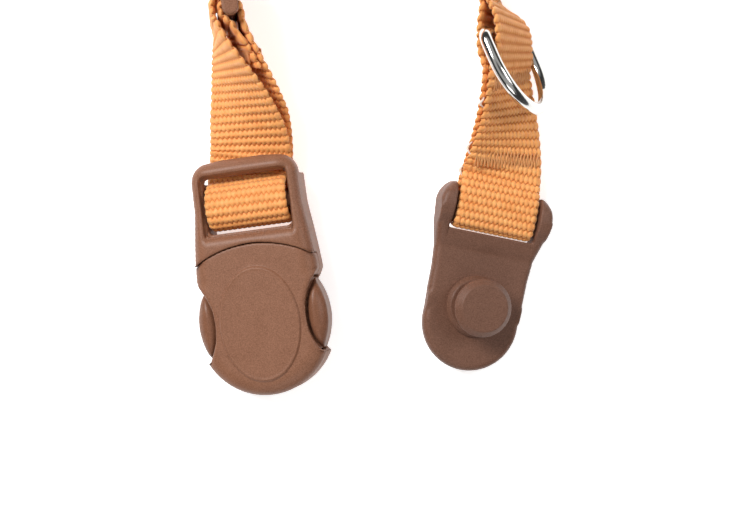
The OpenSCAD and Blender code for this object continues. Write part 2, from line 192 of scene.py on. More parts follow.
BUCKLE_FOLD = [(41, 3.55), (38.6, 3.45), (36.2, 3.9), (34.5, 5.3), (33.3, 7.2), (31.6, 8.7),
               (29, 9.25), (26.4, 8.8), (24.7, 7.3), (24, 5), (24.2, 2.9), (25.4, 1.6),
               (27.6, 1.15), (31, 1.05), (35, 1.05), (38.4, 1.05), (41, 1.05)]
PLATE_FOLD = [(31, 3.85), (28.9, 4.7), (26.9, 5.4), (24.4, 5.6), (21.6, 5.6), (19.8, 5.25),
              (18.7, 4.35), (18.45, 3.2), (18.7, 2.05), (19.8, 1.15), (21.6, 0.8), (24.4, 0.8),
              (26.9, 1), (28.9, 1.6), (31, 2.15)]
STRAP_WEAVE = [(32, 0.3), (27.5, 1), (24.3, 2.2), (21, 2.55), (18, 1.9), (15.6, 0),
               (13.2, -1.85), (10.9, -2.45), (8.6, -1.2), (6.9, 1.7), (4.9, 3.75), (2.2, 4.2),
               (-0.5, 4.05)]
END_FOLD = [(-0.2, -2.35), (1.3, -2.4), (3.1, -2.15), (4.3, -1.2), (4.65, 0), (4.3, 1.2),
            (3.2, 2.15), (1.6, 2.3), (0, 1.4), (-1.4, 0.1), (-3.6, -0.5)]


SPOTS_PER_GAP = 2


def fold_stations(pts, home, w, dir_y, dir_z):
    """Stations on a fold round a bar, drawn in the part's own y and z."""
    spots = [through(pts, i / SPOTS_PER_GAP) for i in range(1, (len(pts) - 1) * SPOTS_PER_GAP)]
    return [(home + dir_y * q[0] + dir_z * q[1], w) for q in spots]


def buckle_turnback():
    """The fold round the buckle's hidden bar, eased over to the middle of the left leg."""
    y_dir, x_dir = buckle_dir(0, 1, 0), buckle_dir(1, 0, 0)
    out = []
    for p, w in fold_stations(BUCKLE_FOLD, BUCKLE_HOME, -x_dir, y_dir, buckle_dir(0, 0, 1)):
        out.append((p + x_dir * FOLD_MID_X * ramp((p - BUCKLE_HOME) @ y_dir, 34, 42), w))
    return out


def loop_point(t):
    """The middle of the standing loop, from the right leg's end (t 0) to the slider (t 1)."""
    p = hermite(LEG_RIGHT_END, LOOP_END, LEG_RIGHT_END_DIR * 2.9 * LOOP_REACH,
                -SLIDER_DIR * 2.5 * LOOP_REACH, t)
    z = (LOOP_REST + (LEG_RIGHT_END[2] - LOOP_REST) * (1 - t)**6
         + (LOOP_END[2] - LOOP_REST) * t**6)
    return vec(p[0], p[1], z)


def tail_station(t):
    """The sewn end, one layer inside the left leg."""
    p, w = left_mid(t), left_across(t)
    n = normal_at(p, left_mid(t + 0.01), w)
    return left_station(t, -1)[0] + n * LAYER_GAP, -w


RIGHT_END_T = 1.94
RIGHT_STEPS = 18
LEFT_STEPS = 12
LOOP_STEPS = 36
TAIL_STEPS = 5
TAIL_START = 3.2


def strap_stations():
    """Every station of the strap, from its free end on the right leg to its sewn tail."""
    run = [right_station(RIGHT_END_T * (1 - i / RIGHT_STEPS), 1) for i in range(RIGHT_STEPS + 1)]
    run += fold_stations(PLATE_FOLD, PLATE_HOME, plate_dir(1, 0, 0), plate_dir(0, 1, 0),
                         plate_dir(0, 0, 1))
    run += [right_station(2 * i / RIGHT_STEPS, -1) for i in range(RIGHT_STEPS + 1)]
    for t in (i / LOOP_STEPS for i in range(1, LOOP_STEPS)):
        run.append((loop_point(t), unit(mix(LAST_ACROSS, -SLIDER_W, ramp(t, 0, 1)))))
    run += fold_stations(STRAP_WEAVE, SLIDER_HOME, -SLIDER_W, SLIDER_DIR, SLIDER_N)
    left_turns = [i / LEFT_STEPS for i in range(LEFT_STEPS + 1)]
    run += [(p, -w) for p, w in (left_station(1 - t, 1) for t in left_turns)]
    run += buckle_turnback()
    run += [(p, -w) for p, w in (left_station(t, -1) for t in left_turns)]
    run += fold_stations(END_FOLD, SLIDER_HOME, -SLIDER_W, SLIDER_DIR, SLIDER_N)
    run += [tail_station(1 - (TAIL_START + (TAIL_LENGTH - TAIL_START) * i / TAIL_STEPS)
                         / LEG_LEFT_LENGTH) for i in range(1, TAIL_STEPS + 1)]
    return np.array([s[0] for s in run]), np.array([s[1] for s in run])


# ---------------------------------------------------------------- camera and lights
CAMERA_HEIGHT = 350.0
LENS = 68.6758
SENSOR = 36.0
NEAREST = 0.01
FARTHEST = 20
AIM = (0, -0.06, 0)


def add_camera():
    """Straight above the buckle halves, as in the photo."""
    data = bpy.data.cameras.new("camera")
    data.sensor_width = SENSOR
    data.lens = LENS
    data.clip_start = NEAREST
    data.clip_end = FARTHEST
    cam = bpy.data.objects.new("camera", data)
    cam.location = (SHIFT[0] * MM, SHIFT[1] * MM, CAMERA_HEIGHT * MM)
    bpy.context.collection.objects.link(cam)
    bpy.context.scene.camera = cam


def add_area(name, place, size, power):
    data = bpy.data.lights.new(name, "AREA")
    data.shape = "RECTANGLE"
    data.size, data.size_y = size
    data.energy = power
    light = bpy.data.objects.new(name, data)
    light.location = place
    way = np.array(AIM, float) - np.array(place, float)
    light.rotation_euler = Vector(way).to_track_quat("-Z", "Y").to_euler()
    bpy.context.collection.objects.link(light)


add_camera()
add_area("key", (-0.4, 0.3, 0.6), (0.3, 0.25), 6.0)
add_area("fill", (0.5, 0.1, 0.5), (0.25, 0.3), 1.0)
add_area("front", (0.0, -0.7, 0.5), (0.4, 0.2), 0.9)


# ---------------------------------------------------------------- materials
def material(name):
    mat = bpy.data.materials.new(name)
    mat.use_nodes = True
    return mat, mat.node_tree.nodes, mat.node_tree.links, mat.node_tree.nodes["Principled BSDF"]


def noise(nodes, links, scale, detail=4.0, rough=0.55):
    place = nodes.new("ShaderNodeTexCoord")
    tex = nodes.new("ShaderNodeTexNoise")
    tex.inputs["Scale"].default_value = scale
    tex.inputs["Detail"].default_value = detail
    tex.inputs["Roughness"].default_value = rough
    links.new(place.outputs["Object"], tex.inputs["Vector"])
    return tex.outputs["Fac"]


def colour_ramp(nodes, links, factor, low, high, start=0.3, end=0.7):
    node = nodes.new("ShaderNodeValToRGB")
    node.color_ramp.elements[0].position = start
    node.color_ramp.elements[0].color = (*low, 1)
    node.color_ramp.elements[1].position = end
    node.color_ramp.elements[1].color = (*high, 1)
    links.new(factor, node.inputs["Fac"])
    return node.outputs["Color"]


def bump(nodes, links, height, strength, distance, under=None):
    node = nodes.new("ShaderNodeBump")
    node.inputs["Strength"].default_value = strength
    node.inputs["Distance"].default_value = distance
    links.new(height, node.inputs["Height"])
    if under is not None:
        links.new(under, node.inputs["Normal"])
    return node.outputs["Normal"]


SPECKLE_SHARE = 0.84
MOTTLE_SHARE = 0.16


def moulded(name, low, high, rough=0.42):
    """Satin moulded plastic: spark-eroded speckle, soft mottling and small rubbed spots."""
    mat, nodes, links, shader = material(name)
    speckle = noise(nodes, links, 3600, 2.0, 0.6)
    mottle = noise(nodes, links, 260, 5.0, 0.6)
    blend = nodes.new("ShaderNodeMath")
    blend.operation = "MULTIPLY_ADD"
    links.new(speckle, blend.inputs[0])
    blend.inputs[1].default_value = SPECKLE_SHARE
    shade = nodes.new("ShaderNodeMath")
    shade.operation = "MULTIPLY"
    links.new(mottle, shade.inputs[0])
    shade.inputs[1].default_value = MOTTLE_SHARE
    links.new(shade.outputs[0], blend.inputs[2])
    links.new(colour_ramp(nodes, links, blend.outputs[0], low, high, 0.35, 0.65),
              shader.inputs["Base Color"])
    patch = nodes.new("ShaderNodeMapRange")
    patch.inputs["To Min"].default_value = rough - 0.07
    patch.inputs["To Max"].default_value = rough + 0.1
    links.new(mottle, patch.inputs["Value"])
    links.new(patch.outputs[0], shader.inputs["Roughness"])
    fine = bump(nodes, links, speckle, 0.35, 0.00006)
    links.new(bump(nodes, links, noise(nodes, links, 1500, 3.0), 0.2, 0.00008, fine),
              shader.inputs["Normal"])
    shader.inputs["Specular IOR Level"].default_value = 0.28
    return mat


WEB_FIBRE = 9000
THREAD_FIBRE = 14000


def woven(name, low, high, fibre, groove=None):
    """Nylon yarn: fine filaments and slight colour change. Where a groove colour is given and the
    mesh carries the weave's height as an attribute, that colour is painted shade that darkens the
    low grooves between the ribs."""
    mat, nodes, links, shader = material(name)
    cloud = noise(nodes, links, 420, 4.0, 0.6)
    colour = colour_ramp(nodes, links, cloud, low, high, 0.3, 0.72)
    if groove is not None:
        weave_height = nodes.new("ShaderNodeAttribute")
        weave_height.attribute_name = "weave_height"
        # painted shade: the weave's height sets how much of the darker groove colour is mixed in
        cover = nodes.new("ShaderNodeMapRange")
        cover.inputs["From Min"].default_value = 0.12
        cover.inputs["From Max"].default_value = 0.66
        links.new(weave_height.outputs["Fac"], cover.inputs["Value"])
        blend = nodes.new("ShaderNodeMix")
        blend.data_type = "RGBA"
        links.new(cover.outputs[0], blend.inputs["Factor"])
        blend.inputs["A"].default_value = (*groove, 1)
        links.new(colour, blend.inputs["B"])
        colour = blend.outputs["Result"]
    links.new(colour, shader.inputs["Base Color"])
    hair = noise(nodes, links, fibre, 3.0, 0.7)
    links.new(bump(nodes, links, hair, 0.5, 0.00008), shader.inputs["Normal"])
    shader.inputs["Roughness"].default_value = 0.62
    shader.inputs["Sheen Weight"].default_value = 0.25
    shader.inputs["Sheen Roughness"].default_value = 0.4
    shader.inputs["Subsurface Weight"].default_value = 0.12
    shader.inputs["Subsurface Radius"].default_value = (0.0012, 0.0005, 0.0002)
    shader.inputs["Subsurface Scale"].default_value = 1.0
    return mat


def metal(name, colour, rough, scratch):
    """Bare metal whose roughness and fine scratches vary over the surface."""
    mat, nodes, links, shader = material(name)
    shader.inputs["Base Color"].default_value = (*colour, 1)
    shader.inputs["Metallic"].default_value = 1.0
    wear = noise(nodes, links, 900, 5.0, 0.7)
    links.new(bump(nodes, links, wear, scratch, 0.00005), shader.inputs["Normal"])
    spread = nodes.new("ShaderNodeMapRange")
    spread.inputs["To Min"].default_value = rough * 0.6
    spread.inputs["To Max"].default_value = rough * 1.7
    links.new(wear, spread.inputs["Value"])
    links.new(spread.outputs[0], shader.inputs["Roughness"])
    return mat


BROWN = moulded("brown_plastic", (0.19, 0.08, 0.042), (0.295, 0.134, 0.077))
BUTTON_BROWN = moulded("button_plastic", (0.165, 0.067, 0.034), (0.25, 0.108, 0.06), 0.36)
DARK_BROWN = moulded("plate_plastic", (0.13, 0.058, 0.035), (0.205, 0.098, 0.063), 0.46)
# the groove colour is painted shade for the weave's low grooves, darker than the yarn itself
ORANGE = woven("orange_webbing", (0.83, 0.325, 0.085), (0.94, 0.44, 0.14), WEB_FIBRE,
               groove=(0.64, 0.185, 0.03))
THREAD = woven("sewing_thread", (0.62, 0.25, 0.075), (0.76, 0.34, 0.12), THREAD_FIBRE)
PALE_THREAD = woven("pale_thread", (0.84, 0.66, 0.55), (0.92, 0.78, 0.68), THREAD_FIBRE)
CHROME = metal("chrome", (0.66, 0.655, 0.63), 0.09, 0.05)
STEEL = metal("spring_wire", (0.6, 0.6, 0.62), 0.25, 0.2)


def floor_material():
    mat, _, _, shader = material("white_table")
    shader.inputs["Base Color"].default_value = (0.9, 0.9, 0.9, 1)
    shader.inputs["Roughness"].default_value = 0.7
    shader.inputs["Emission Color"].default_value = (1, 1, 1, 1)
    shader.inputs["Emission Strength"].default_value = 0.62
    return mat


# ---------------------------------------------------------------- mesh helpers
def steps_to(low, high, count):
    """Even steps from low towards high, without high itself."""
    return np.linspace(low, high, count + 1)[:-1]


def grid_object(name, rows, mat, capped=True):
    """A tube from an array of rings, rows[i][k] = point, in metres."""
    count, around = rows.shape[0], rows.shape[1]
    verts = rows.reshape(-1, 3)
    i = np.arange(count - 1)[:, None]
    k = np.arange(around)[None, :]
    k2 = (k + 1) % around
    quads = np.stack([i * around + k, i * around + k2, (i + 1) * around + k2,
                      (i + 1) * around + k], axis=-1).reshape(-1, 4)
    mesh = bpy.data.meshes.new(name)
    caps = 2 if capped else 0
    mesh.vertices.add(len(verts))
    mesh.vertices.foreach_set("co", verts.astype(np.float32).ravel())
    loops = quads.ravel()
    starts = np.arange(0, len(loops), 4)
    totals = np.full(len(quads), 4)
    if capped:
        first = np.arange(around)[::-1]
        last = np.arange(around) + (count - 1) * around
        starts = np.concatenate([starts, [len(loops), len(loops) + around]])
        totals = np.concatenate([totals, [around, around]])
        loops = np.concatenate([loops, first, last])
    mesh.loops.add(len(loops))
    mesh.loops.foreach_set("vertex_index", loops.astype(np.int32))
    mesh.polygons.add(len(quads) + caps)
    mesh.polygons.foreach_set("loop_start", starts.astype(np.int32))
    mesh.polygons.foreach_set("loop_total", totals.astype(np.int32))
    mesh.polygons.foreach_set("use_smooth", [True] * (len(quads) + caps))
    mesh.update(calc_edges=True)
    mesh.materials.append(mat)
    obj = bpy.data.objects.new(name, mesh)
    bpy.context.collection.objects.link(obj)
    return obj


# ---------------------------------------------------------------- the webbing
COLUMNS = 16
GRAIN = 1.9
GROOVE_TEETH = 0.18
SIDE_SAMPLES = 8
ROW_SAMPLES = 12
RELIEF = 0.62
SMOOTH_WIDTH = 13
SURFACE_LIFT = 0.06
BACK_STAGGER = 0.25
SELVAGE_START = 0.9
SELVAGE_DROP = 0.62
SELVAGE_INSET = 0.2
BEAD_REACH = 0.55


def resampled(points, across, step):
    """Even steps along the strap, smoothed between stations."""
    gaps = np.linalg.norm(np.diff(points, axis=0), axis=1)
    s = np.concatenate([[0], np.cumsum(gaps)])
    count = int(s[-1] / step) + 1
    at = np.linspace(0, s[-1], count)
    i = np.clip(np.searchsorted(s, at, side="right") - 1, 0, len(s) - 2)
    f = ((at - s[i]) / (s[i + 1] - s[i]))[:, None]

    def curve(a):
        slope = np.gradient(a, s, axis=0)
        gap = (s[i + 1] - s[i])[:, None]
        return hermite(a[i], a[i + 1], slope[i] * gap, slope[i + 1] * gap, f)

    out, w = curve(points), curve(across)
    soft = np.hanning(SMOOTH_WIDTH)[1:-1]
    soft /= soft.sum()

    def smoothed(a):
        pad = len(soft) // 2
        big = np.concatenate([np.repeat(a[:1], pad, 0), a, np.repeat(a[-1:], pad, 0)])
        return np.stack([np.convolve(big[:, k], soft, "valid") for k in range(3)], axis=1)

    out, w = smoothed(out), smoothed(w)
    along = np.gradient(out, axis=0)
    along /= np.linalg.norm(along, axis=1)[:, None]
    w = w - along * (w * along).sum(1)[:, None]
    w /= np.linalg.norm(w, axis=1)[:, None]
    return at, out, w, np.cross(w, along)


def zigzag(u, k):
    """Where the groove under rib k lies: teeth one column wide, staggered rib by rib."""
    phase = u + 0.5 * (k % 2)
    return k + GROOVE_TEETH * (4 * np.abs(phase - np.floor(phase) - 0.5) - 1)


def grain_height(u, v):
    """Height, 0 to 1, of the cross-ribbed weave at u columns across and v ribs along."""
    k = np.floor(v)
    k = np.where(v < zigzag(u, k), k - 1, k)
    k = np.where(v >= zigzag(u, k + 1), k + 1, k)
    low, high = zigzag(u, k), zigzag(u, k + 1)
    beat = (v - low) / (high - low) * 2 - 1
    phase = u + 0.5 * (k % 2)
    inside = (phase - np.floor(phase)) * 2 - 1
    rib = np.clip(1 - np.abs(beat)**1.9, 0, 1)**0.8
    yarn = 0.76 + 0.24 * np.clip(1 - np.abs(inside)**2.2, 0, 1)
    return rib * yarn


def edge_beads(v):
    """The selvage: a row of round loops, one to a rib."""
    beat = (v - np.floor(v)) * 2 - 1
    return np.clip(1 - np.abs(beat)**2.4, 0, 1)**0.5


def make_webbing():
    """One ring of points round the strap at every step, pushed out by the weave's height."""
    points, across = strap_stations()
    at, mid, w, n = resampled(points, across, GRAIN / ROW_SAMPLES)
    rows = at / GRAIN
    wide = COLUMNS * SIDE_SAMPLES
    side = (np.arange(wide + 1) / wide - 0.5) * 2
    half_t = STRAP_T / 2 + SURFACE_LIFT
    ring, depth = [], []
    worn = 0.06 * np.sin(rows * 0.37) + 0.05 * np.sin(rows * 0.113 + 1.3)
    for face in (1, -1):
        us = side if face > 0 else side[::-1]
        for s in us:
            u = (s + 1) / 2 * COLUMNS
            u = np.full(len(rows), min(u, COLUMNS - 1e-6))
            v = rows + (BACK_STAGGER if face < 0 else 0.0)
            edge = max(0.0, (abs(s) - SELVAGE_START) / (1 - SELVAGE_START))
            beads = edge_beads(v)
            tall = grain_height(u, v + worn) * (1 - edge) + edge * beads
            round_off = SELVAGE_DROP * edge**2.2
            height = half_t - RELIEF + RELIEF * tall - round_off
            width = (s * (STRAP_W / 2 - SELVAGE_INSET)
                     + np.sign(s) * edge * (beads - 0.5) * BEAD_REACH)
            ring.append(mid + w * width[:, None] + n * (face * height)[:, None])
            depth.append(tall)
    obj = grid_object("woven_strap", np.stack(ring, axis=1) * MM, ORANGE)
    # the weave's height, kept on the mesh; its low values get the painted groove shade
    layer = obj.data.attributes.new("weave_height", "FLOAT", "POINT")
    layer.data.foreach_set("value", np.stack(depth, axis=1).astype(np.float32).ravel())
    return obj


strap = make_webbing()
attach(strap, "strap")
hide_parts("webbing")


# ---------------------------------------------------------------- rounded outlines (mm)
def arc(x, y, r, start, end, step=0.25):
    count = max(3, int(abs(math.radians(end - start)) * r / step))
    turn = np.radians(np.linspace(start, end, count))
    return np.stack([x + r * np.cos(turn), y + r * np.sin(turn)], axis=1)


def line(*corners, step=0.25):
    out = []
    for a, b in zip(corners[:-1], corners[1:]):
        a, b = np.array(a, float), np.array(b, float)
        count = max(2, int(np.linalg.norm(b - a) / step))
        out.append(a + (b - a) * np.linspace(0, 1, count)[:, None])
    return np.concatenate(out)


def both_sides(half):
    return np.concatenate([half, half * [-1, 1]])


BUTTON_Y = 0.8
WAIST_X = 26.6
WAIST_R = 15.5
NOSE_R = 16.3
SLOT_X = 10.4
SLOT_LOW = 21.7
SLOT_HIGH = 36
WAIST_EDGE = both_sides(arc(WAIST_X, BUTTON_Y, WAIST_R, 215, 144))
BUCKLE_EDGE = both_sides(np.concatenate([
    arc(0, -1, NOSE_R, -90, -27.5),
    line((14.9, 11.3), (15, 11.6), (14.9, 13.6), (14.5, 17.5), (14, 22), (13.2, 28), (13.1, 35.1)),
    arc(8.4, 35.1, 4.7, 0, 90), line((8.4, 39.8), (0, 40.05))]))
SLOT_EDGE = line((-SLOT_X, SLOT_LOW), (SLOT_X, SLOT_LOW), (SLOT_X, SLOT_HIGH),
                 (-SLOT_X, SLOT_HIGH), (-SLOT_X, SLOT_LOW))
BUTTON_EDGE = np.concatenate([arc(0.3, BUTTON_Y, NOSE_R, -60, 60),
                              arc(-0.3, BUTTON_Y, NOSE_R, 120, 240)])
PLATE_EDGE = both_sides(np.concatenate([
    arc(0, -4, 12, -90, 5), line((12.15, 2), (12.2, 8), (12.6, 13), (13.7, 18)),
    arc(8.3, 23.5, 6, 0, 60), line((11.3, 28.7), (10.7, 28.6))]))


BATCH = 20000


def gap_to(edge, xy):
    """How far each point is from an outline, worked out in batches to save memory."""
    out = np.empty(len(xy))
    for start in range(0, len(xy), BATCH):
        part = xy[start:start + BATCH]
        out[start:start + BATCH] = np.sqrt(
            ((part[:, None, :] - edge[None, :, :])**2).sum(2).min(1))
    return out


def in_part(points, home, turn):
    """The points in a part's own axes, and those axes."""
    axes = np.stack([turn(1, 0, 0), turn(0, 1, 0), turn(0, 0, 1)])
    return (points - home) @ axes.T, axes


SKIN_FACING = 0.2
CASING_END = 20


def rounded(points, normals, home, turn, edges, bottom, top):
    """Points near the outlines drop, more the nearer they are: a moulded, domed edge.
    Each edge is an outline, the width of its rounding and the drop at the outline.
    Faces inside the casing stay where the CAD part has them."""
    local, axes = in_part(points, home, turn)
    facing = normals @ axes.T
    outward = (facing[:, :2] * local[:, :2]).sum(1) / np.linalg.norm(local[:, :2], axis=1)
    skin = ((facing[:, 2] > SKIN_FACING) | (outward > SKIN_FACING)
            | (local[:, 1] > CASING_END))
    share = np.clip((local[:, 2] - bottom) / (top - bottom), 0, 1) * skin
    for edge, radius, deep in edges:
        near = np.clip(1 - gap_to(edge, local[:, :2]) / radius, 0, 1)
        local[:, 2] -= deep * (1 - np.sqrt(np.clip(1 - near**2, 0, 1))) * share
    return local @ axes + home


CASE_EDGES = ((BUCKLE_EDGE, 4.2, 3.2), (WAIST_EDGE, 1.2, 0.6), (SLOT_EDGE, 2.2, 1.5))
CASE_BOTTOM = 3.0
CASE_TOP = 10.2


def buckle_crown(points, normals):
    """The casing's rounded rim, waist and slot."""
    return rounded(points, normals, BUCKLE_HOME, buckle_dir, CASE_EDGES, CASE_BOTTOM, CASE_TOP)


def edge_pull(local, middle, reach, half_width):
    """1 on a straight edge across the part at y = middle, falling to 0 away from it."""
    near = np.clip(1 - np.abs(local[:, 1] - middle) / reach, 0, 1)
    return np.minimum(1, near * (np.abs(local[:, 0]) < half_width) * 1.5)


SLOT_PULL = 0.8


def frame_crown(points, normals):
    """The slot's near edge comes closer to the webbing than the CAD part's running gap."""
    local, axes = in_part(points, BUCKLE_HOME, buckle_dir)
    local[:, 1] += SLOT_PULL * edge_pull(local, 21.6, 2.4, 10.6)
    return buckle_crown(local @ axes + BUCKLE_HOME, normals)


PAD_A = 10.0
PAD_B = 14.0
PAD_BASE = 9.9
PAD_STEP = 0.45
PAD_STEP_START = 0.955
PAD_STEP_WIDTH = 0.05
RIM_HEIGHT = 0.07
RIM_PLACE = 0.95
RIM_WIDTH = 0.022
PAD_END = 1.15
COVER_TOP_FROM = 9.4


def cover_crown(points, normals):
    """The cover's oval pad: a low flat step with a fine raised rim."""
    local, axes = in_part(points, BUCKLE_HOME, buckle_dir)
    q = np.hypot(local[:, 0] / PAD_A, local[:, 1] / PAD_B)
    t = np.clip((q - PAD_STEP_START) / PAD_STEP_WIDTH, 0, 1)
    top = (PAD_BASE + PAD_STEP * (1 - t * t * (3 - 2 * t))
           + RIM_HEIGHT * np.exp(-((q - RIM_PLACE) / RIM_WIDTH)**2))
    on_top = local[:, 2] > COVER_TOP_FROM
    local[on_top, 2] = np.where(q < PAD_END, top, local[:, 2])[on_top]
    return buckle_crown(local @ axes + BUCKLE_HOME, normals)


BUTTON_EDGES = ((BUTTON_EDGE, 4.0, 4.2), (WAIST_EDGE, 2.2, 2.6))
BUTTON_BOTTOM = 1.0
BUTTON_TOP = 8.8
PAD_OUTER_X = 12.1
PAD_INNER_X = 10.3
PAD_INNER_Z = 5.4


def button_crown(points, normals):
    """Only the pad outside the casing is domed: the latch plate inside keeps its CAD shape."""
    local, _ = in_part(points, BUCKLE_HOME, buckle_dir)
    from_middle = np.abs(local[:, 0])
    outside = ((from_middle > PAD_OUTER_X)
               | ((local[:, 2] > PAD_INNER_Z) & (from_middle > PAD_INNER_X)))
    domed = rounded(points, normals, BUCKLE_HOME, buckle_dir, BUTTON_EDGES, BUTTON_BOTTOM,
                    BUTTON_TOP)
    return np.where(outside[:, None], domed, points)


PLATE_EDGES = ((PLATE_EDGE, 1.7, 1.5),)
PLATE_BOTTOM = 0.2
PLATE_TOP = 3.0
WINDOW_PULL = 0.5
WINDOW_PULL_END = 18.5


def plate_crown(points, normals):
    """The stud plate's rounded rim, with its window's near edge closer to the webbing."""
    local, axes = in_part(points, PLATE_HOME, plate_dir)
    pull = edge_pull(local, 16.9, 2.0, 10.9) * (local[:, 1] < WINDOW_PULL_END)
    local[:, 1] += WINDOW_PULL * pull
    return rounded(local @ axes + PLATE_HOME, normals, PLATE_HOME, plate_dir, PLATE_EDGES,
                   PLATE_BOTTOM, PLATE_TOP)


# ---------------------------------------------------------------- moulded parts
def softened(node, name, mat, body, voxel=0.22, passes=14, crown=None):
    """A moulded copy of a CAD part, with its edges rounded as a mould leaves them."""
    obj = bpy.data.objects.new(name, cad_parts[node].data.copy())
    bpy.context.collection.objects.link(obj)
    remesh = obj.modifiers.new("remesh", "REMESH")
    remesh.mode = "VOXEL"
    remesh.voxel_size = voxel * MM
    relax = obj.modifiers.new("relax", "SMOOTH")
    relax.factor = 0.5
    relax.iterations = passes
    graph = bpy.context.evaluated_depsgraph_get()
    mesh = bpy.data.meshes.new_from_object(obj.evaluated_get(graph))
    obj.modifiers.clear()
    obj.data = mesh
    if crown is not None:
        co = np.empty(len(mesh.vertices) * 3, np.float32)
        mesh.vertices.foreach_get("co", co)
        normals = np.empty_like(co)
        mesh.vertex_normals.foreach_get("vector", normals)
        shaped = crown(co.reshape(-1, 3) / MM, normals.reshape(-1, 3))
        mesh.vertices.foreach_set("co", shaped.astype(np.float32).ravel() * MM)
    mesh.polygons.foreach_set("use_smooth", [True] * len(mesh.polygons))
    mesh.materials.clear()
    mesh.materials.append(mat)
    mesh.update()
    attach(obj, body)
    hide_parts(node)


softened("female_frame", "buckle_frame", BROWN, "buckle",
         crown=frame_crown)
softened("front_cover", "buckle_cover", BROWN, "buckle",
         passes=10, crown=cover_crown)
softened("left_button", "button_left", BUTTON_BROWN, "left_push",
         crown=button_crown)
softened("right_button", "button_right", BUTTON_BROWN, "right_push",
         crown=button_crown)
softened("male_plate", "stud_plate_body", DARK_BROWN, "stud_plate",
         passes=24, crown=plate_crown)
softened("stud", "stud_body", DARK_BROWN, "stud_plate",
         voxel=0.16, passes=6)
softened("slider", "slider_body", BROWN, "strap")


# ---------------------------------------------------------------- ring
WIRE_SIDES = 28
BAR_STEPS = 19
CORNER_STEPS = 12
LIMB_STEPS = 5
BOW_STEPS = 48


def ring_frame():
    """The ring's own axes: along its bar, and from its bar's side to its bow's."""
    x = RING_W * cos_deg(RING_SKEW) - RING_DIR * sin_deg(RING_SKEW)
    y = RING_W * sin_deg(RING_SKEW) + RING_DIR * cos_deg(RING_SKEW)
    down = y * cos_deg(RING_SWING) - np.cross(x, y) * sin_deg(RING_SWING)
    return x, down


def ring_path():
    """The middle of the wire, once round: bar, corners, limbs and bow."""
    turn = steps_to(0, 1, CORNER_STEPS)
    straight = RING_DEPTH - RING_HALF
    inner = RING_HALF - RING_CORNER
    pts = [(x, 0.0) for x in steps_to(-inner, inner, BAR_STEPS)]
    pts += [(inner + RING_CORNER * sin_deg(90 * t), -RING_CORNER * (1 - cos_deg(90 * t)))
            for t in turn]
    pts += [(RING_HALF, -y) for y in steps_to(RING_CORNER, straight, LIMB_STEPS)]
    pts += [(RING_HALF * cos_deg(180 * t), -straight - RING_HALF * sin_deg(180 * t))
            for t in steps_to(0, 1, BOW_STEPS)]
    pts += [(-RING_HALF, -y) for y in steps_to(straight, RING_CORNER, LIMB_STEPS)]
    pts += [(-inner - RING_CORNER * cos_deg(90 * t), -RING_CORNER * (1 - sin_deg(90 * t)))
            for t in turn]
    return np.array(pts)


def make_ring():
    x, y = ring_frame()
    flat = ring_path()
    z = np.cross(x, y)
    pts = RING_HOME + flat[:, :1] * x + flat[:, 1:] * y
    along = np.roll(pts, -1, 0) - np.roll(pts, 1, 0)
    along /= np.linalg.norm(along, axis=1)[:, None]
    out = np.cross(along, z)
    angle = steps_to(0, 2 * math.pi, WIRE_SIDES)
    rows = (pts[:, None, :] + WIRE_D / 2 * (np.cos(angle)[None, :, None] * out[:, None, :]
            + np.sin(angle)[None, :, None] * z[None, None, :]))
    rows = np.concatenate([rows, rows[:1]])
    obj = grid_object("ring_wire", rows * MM, CHROME, capped=False)
    work = bmesh.new()
    work.from_mesh(obj.data)
    bmesh.ops.remove_doubles(work, verts=work.verts, dist=1e-6)
    bmesh.ops.recalc_face_normals(work, faces=work.faces)
    work.to_mesh(obj.data)
    work.free()
    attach(obj, "ring")
    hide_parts("d_ring")


make_ring()


# ---------------------------------------------------------------- stitching
BAND_WIDTH = 17.0
STROKE_PITCH = 0.45
STROKE_PARTS = 4
THREAD_R = 0.2
THREAD_SIDES = 6
THREAD_LIFT = 0.12


def stitch_mesh(name, node, mid, w, apart, tall, along):
    """Bartack: a dense zigzag of thread laid over the weave, on both faces."""
    n = np.cross(w, along)
    turn = steps_to(0, 2 * math.pi, THREAD_SIDES)
    part = (np.arange(STROKE_PARTS) / STROKE_PARTS)[None, :, None]
    count = int(BAND_WIDTH / STROKE_PITCH)
    pieces = []
    for face in (-1, 1):
        level = n * face * (apart / 2 + STRAP_T / 2 + THREAD_LIFT)
        rows = []
        for c in range(count + 1):
            x = (c / count - 0.5) * BAND_WIDTH
            uneven = 0.16 * math.sin(c * 2.7 + face) + 0.1 * math.sin(c * 1.1)
            end = (tall / 2 + uneven) * (1 if c % 2 else -1)
            rows += [mid + level + w * (x - 0.1) + along * end * 0.92 - n * face * 0.1,
                     mid + level + w * (x + 0.1) + along * end - n * face * 0.3]
        pts = np.array(rows)
        centre = (pts[:-1, None] * (1 - part) + pts[1:, None] * part).reshape(-1, 3)
        heading = np.gradient(centre, axis=0)
        heading /= np.linalg.norm(heading, axis=1)[:, None]
        out = np.tile(n * face, (len(centre), 1))
        side = np.cross(heading, out)
        side /= np.linalg.norm(side, axis=1)[:, None]
        out = np.cross(side, heading)
        pieces.append(centre[:, None, :] + THREAD_R * (
            np.cos(turn)[None, :, None] * side[:, None, :]
            + np.sin(turn)[None, :, None] * out[:, None, :]))
    for tag, piece in zip(("_back", "_front"), pieces):
        obj = grid_object(name + tag, piece * MM, THREAD)
        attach(obj, "strap")
        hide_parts(node)


def squared(w, along):
    """The across direction made square to the strap's own direction."""
    return unit(w - along * (w @ along))


def right_leg_stitching(name, node, t, tall):
    along = unit(right_mid(t + 0.01) - right_mid(t - 0.01))
    stitch_mesh(name, node, right_mid(t), squared(right_across(t), along), right_apart(t), tall,
                along)


right_leg_stitching("plate_bartack", "plate_stitching", 0.16, 3.8)
right_leg_stitching("ring_bartack_low", "ring_lower_stitching", 0.7, 3.4)
right_leg_stitching("ring_bartack_high", "ring_upper_stitching", 1.66, 3.4)


SLIDER_STITCH_DISTANCE = 6.8


